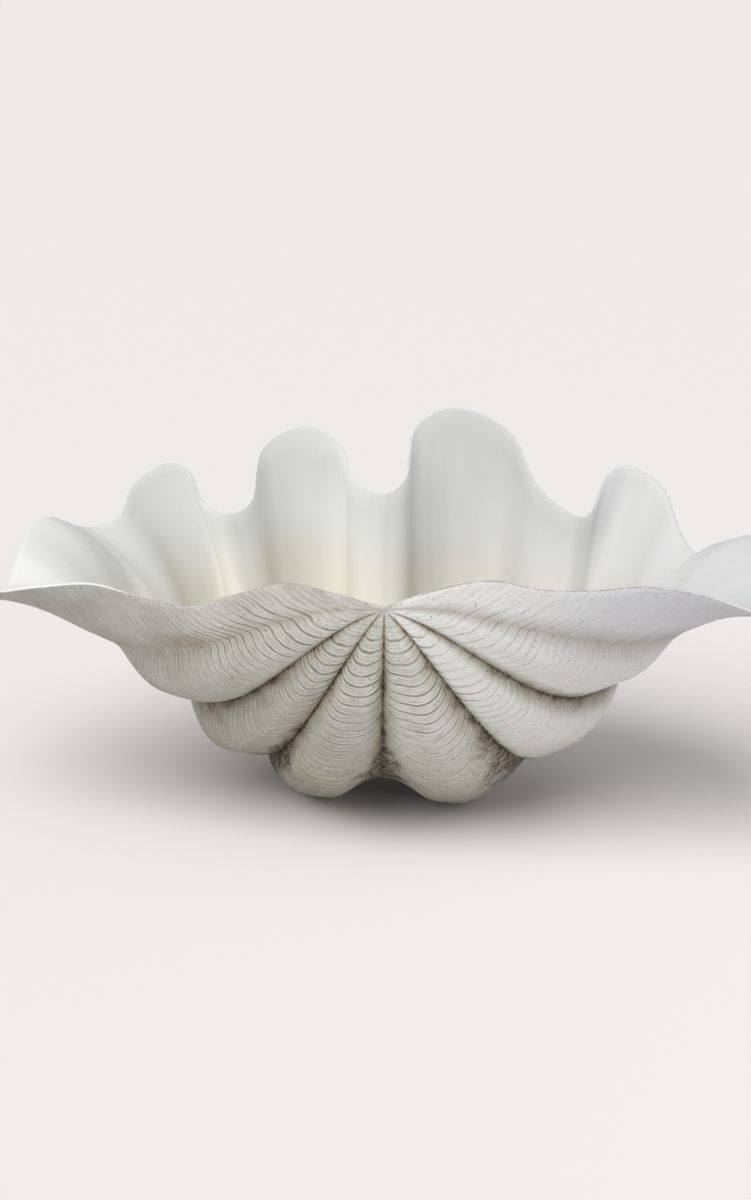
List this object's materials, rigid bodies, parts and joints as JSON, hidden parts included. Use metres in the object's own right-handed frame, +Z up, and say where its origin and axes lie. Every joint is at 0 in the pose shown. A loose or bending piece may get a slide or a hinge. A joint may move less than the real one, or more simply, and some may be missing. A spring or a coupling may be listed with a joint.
{
  "type": "giant clam shell valve",
  "caption": "One half of a giant clam shell: an open bowl with fanned ribs outside, smooth folds inside and a deeply lobed, wavy margin.",
  "frame": {"origin": "on the ground under the middle of the valve's box, as it lies on its two middle ribs", "axes": "+X along the hinge, to the right as seen from the beak's side; +Y from the beak to the high lobes of the margin; +Z up, out of the hollow"},
  "size_m": [0.6686, 0.4032, 0.2964],
  "materials": {
    "shell": "chalky outside, satin inside"
  },
  "bodies": {
    "root": {"clam_shell": "shell"}
  },
  "joints": []
}
